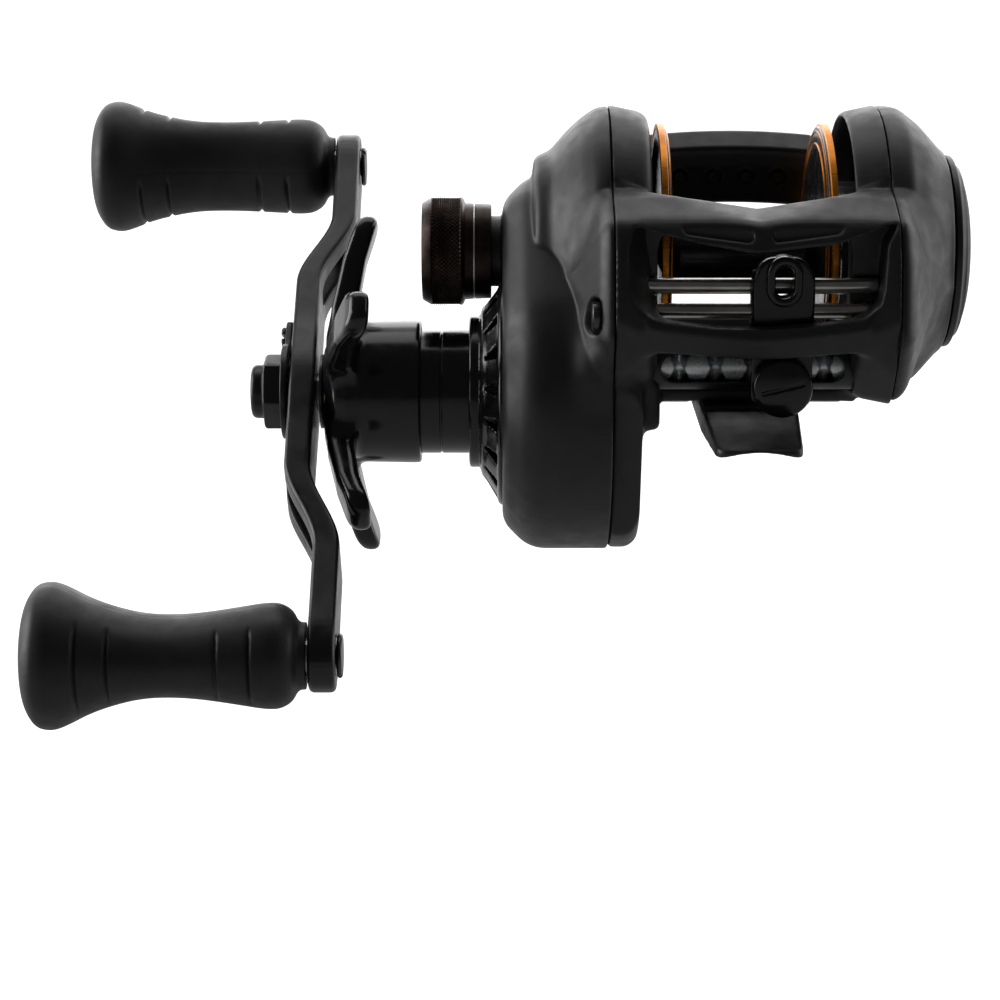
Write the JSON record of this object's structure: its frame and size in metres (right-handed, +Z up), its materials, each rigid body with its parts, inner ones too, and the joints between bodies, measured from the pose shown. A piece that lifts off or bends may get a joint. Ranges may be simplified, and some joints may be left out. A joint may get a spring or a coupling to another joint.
{
  "type": "baitcasting reel",
  "caption": "Low-profile baitcasting fishing reel with a double-knob crank handle, star drag, geared spool and worm-driven line guide.",
  "frame": {"origin": "on the underside of the reel foot, at the top of the saddle that sits on the rod, straight below the spool axis", "axes": "+Z up, away from the rod; -Y to the front, where the line leaves; +X to the palm side, so the handle is at -X; the spool turns about X"},
  "size_m": [0.1305, 0.0971, 0.0786],
  "materials": {
    "body_black": "satin charcoal-black coating",
    "gloss_black": "polished black",
    "handle_black": "satin black anodised aluminium",
    "grip_black": "soft matte black grip",
    "spool_orange": "orange anodised rims, dark anodised body",
    "bronze": "dark bronze anodised, knurled",
    "steel": "polished stainless steel",
    "brass": "machined",
    "nylon": "moulded",
    "carbon": "woven carbon drag disc"
  },
  "bodies": {
    "reel": {"anti_reverse_clutch": "steel", "brake_drum": "steel", "clutch_tower": "gloss_black", "cover_screw_front": "steel", "cover_screw_rear": "steel", "drive_shaft_bearing": "steel", "foot_screw_front": "steel", "foot_screw_rear": "steel", "frame": "body_black", "gear_side_cover": "body_black", "guide_rod_lower": "steel", "guide_rod_upper": "steel", "palm_cap": "body_black", "palm_side_cover": "body_black", "reel_foot": "body_black", "spool_bearing_gear_side": "steel", "spool_bearing_palm_side": "steel", "tower_bell": "gloss_black", "worm_bushing_gear_side": "steel", "worm_bushing_palm_side": "steel", "worm_tube": "body_black", "yoke_post_front": "steel", "yoke_post_rear": "steel"},
    "handle": {"drive_shaft": "steel", "main_gear": "brass", "level_wind_drive_gear": "nylon", "drag_washer": "carbon", "drag_pressure_plate": "steel", "clutch_sleeve": "steel", "drag_spring_washer": "steel", "handle_spring_washer": "brass", "handle_arm": "handle_black", "handle_nut": "handle_black", "nut_retainer": "handle_black", "retainer_screw": "steel", "knob_post_upper": "steel", "knob_post_lower": "steel", "knob_screw_upper": "steel", "knob_screw_lower": "steel"},
    "star": {"star_drag": "gloss_black"},
    "upper_knob": {"knob_upper": "grip_black"},
    "lower_knob": {"knob_lower": "grip_black"},
    "spool_body": {"spool": "spool_orange", "spool_shaft": "steel", "brake_hub": "nylon"},
    "pinion_body": {"pinion": "brass"},
    "yoke": {"clutch_yoke": "nylon"},
    "cam": {"clutch_cam": "steel"},
    "thumb": {"thumb_bar": "body_black"},
    "worm": {"worm_shaft": "steel", "worm_gear": "nylon"},
    "carriage": {"line_guide": "gloss_black", "line_guide_insert": "gloss_black", "line_guide_pawl": "brass", "pawl_cap": "body_black"},
    "tension": {"tension_knob": "bronze"},
    "shoe_1": {"brake_shoe_1": "nylon"},
    "shoe_2": {"brake_shoe_2": "nylon"},
    "shoe_3": {"brake_shoe_3": "nylon"},
    "shoe_4": {"brake_shoe_4": "nylon"}
  },
  "joints": [
    {"name": "handle_turn", "type": "hinge", "parent": "reel", "child": "handle", "pos_m": [-0.0631, -0.0053, 0.0013], "axis": [1, 0, 0], "continuous": true},
    {"name": "star_drag_turn", "type": "hinge", "parent": "handle", "child": "star", "pos_m": [-0.057, -0.0053, 0.0013], "axis": [1, 0, 0], "range_deg": [-180, 180]},
    {"name": "upper_knob_spin", "type": "hinge", "parent": "handle", "child": "upper_knob", "pos_m": [-0.08, 0.03324, 0.02889], "axis": [1, 0, 0], "continuous": true},
    {"name": "lower_knob_spin", "type": "hinge", "parent": "handle", "child": "lower_knob", "pos_m": [-0.08, -0.04384, -0.02629], "axis": [1, 0, 0], "continuous": true},
    {"name": "spool_spin", "type": "hinge", "parent": "reel", "child": "spool_body", "pos_m": [0, 0, 0.021], "axis": [1, 0, 0], "continuous": true},
    {"name": "thumb_bar_press", "type": "slide", "parent": "reel", "child": "thumb", "axis": [0, 0, -1], "range_m": [0, 0.003]},
    {"name": "clutch_cam_turn", "type": "hinge", "parent": "reel", "child": "cam", "pos_m": [-0.0228, 0, 0.021], "axis": [1, 0, 0], "range_deg": [-20, 0]},
    {"name": "clutch_yoke_slide", "type": "slide", "parent": "reel", "child": "yoke", "axis": [-1, 0, 0], "range_m": [0, 0.0016]},
    {"name": "pinion_spin", "type": "hinge", "parent": "yoke", "child": "pinion_body", "pos_m": [-0.027, 0, 0.021], "axis": [1, 0, 0], "continuous": true},
    {"name": "worm_spin", "type": "hinge", "parent": "reel", "child": "worm", "pos_m": [0, -0.0215, 0.0087], "axis": [1, 0, 0], "continuous": true},
    {"name": "line_guide_travel", "type": "slide", "parent": "reel", "child": "carriage", "axis": [1, 0, 0], "range_m": [-0.0124, 0.005]},
    {"name": "tension_knob_turn", "type": "hinge", "parent": "reel", "child": "tension", "pos_m": [-0.042, 0, 0.021], "axis": [1, 0, 0], "range_deg": [-270, 270]},
    {"name": "brake_shoe_1_slide", "type": "slide", "parent": "spool_body", "child": "shoe_1", "axis": [0, 0, 1], "range_m": [0, 0.0006]},
    {"name": "brake_shoe_2_slide", "type": "slide", "parent": "spool_body", "child": "shoe_2", "axis": [0, 1, 0], "range_m": [0, 0.0006]},
    {"name": "brake_shoe_3_slide", "type": "slide", "parent": "spool_body", "child": "shoe_3", "axis": [0, 0, -1], "range_m": [0, 0.0006]},
    {"name": "brake_shoe_4_slide", "type": "slide", "parent": "spool_body", "child": "shoe_4", "axis": [0, -1, 0], "range_m": [0, 0.0006]}
  ],
  "couplings": [
    {"joint": "spool_spin", "follows": "handle_turn", "ratio": -6.2},
    {"joint": "pinion_spin", "follows": "handle_turn", "ratio": -6.2},
    {"joint": "worm_spin", "follows": "handle_turn", "ratio": -2.8333},
    {"joint": "clutch_cam_turn", "follows": "thumb_bar_press", "rad_per_m": -116.36},
    {"joint": "clutch_yoke_slide", "follows": "thumb_bar_press", "ratio": 0.53333}
  ]
}
